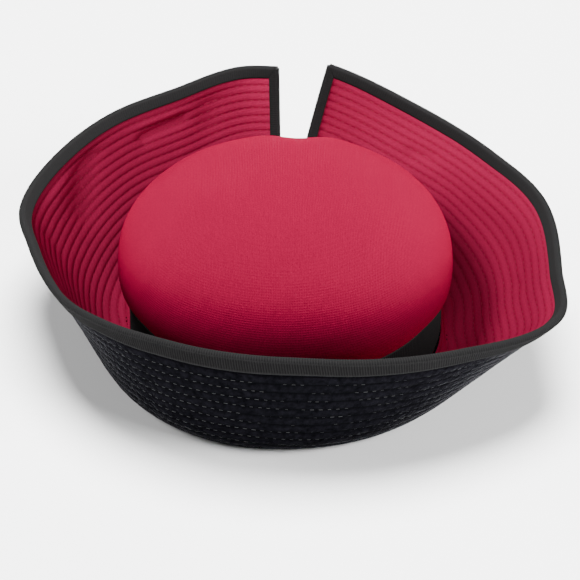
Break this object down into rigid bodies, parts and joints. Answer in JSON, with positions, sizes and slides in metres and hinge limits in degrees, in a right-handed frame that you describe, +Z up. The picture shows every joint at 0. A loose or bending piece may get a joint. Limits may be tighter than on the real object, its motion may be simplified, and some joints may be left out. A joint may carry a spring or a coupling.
{
  "type": "tilt hat",
  "caption": "Rounded cloth crown with a ribbon band and a wide stitched brim, turned up all round, slashed in a V at the front, with a bound rim.",
  "frame": {"origin": "on the rest plane, under the middle of the hat's box", "axes": "+Z up out of the crown, +Y to the front where the brim is slashed, +X to the right of someone standing behind the hat"},
  "size_m": [0.3062, 0.271, 0.095],
  "materials": {
    "raspberry_cloth": "matt plain-weave wool-like cloth, stitched in rows on the brim",
    "black_velvet": "short-pile black velvet, stitched in rows",
    "black_ribbon": "ribbed black grosgrain ribbon"
  },
  "bodies": {
    "root": {"crown": "raspberry_cloth", "crown_band": "black_ribbon", "brim_facing": "raspberry_cloth", "brim_underside": "black_velvet", "rim_binding": "black_ribbon", "notch_binding_left": "black_ribbon", "notch_binding_right": "black_ribbon"}
  },
  "joints": []
}
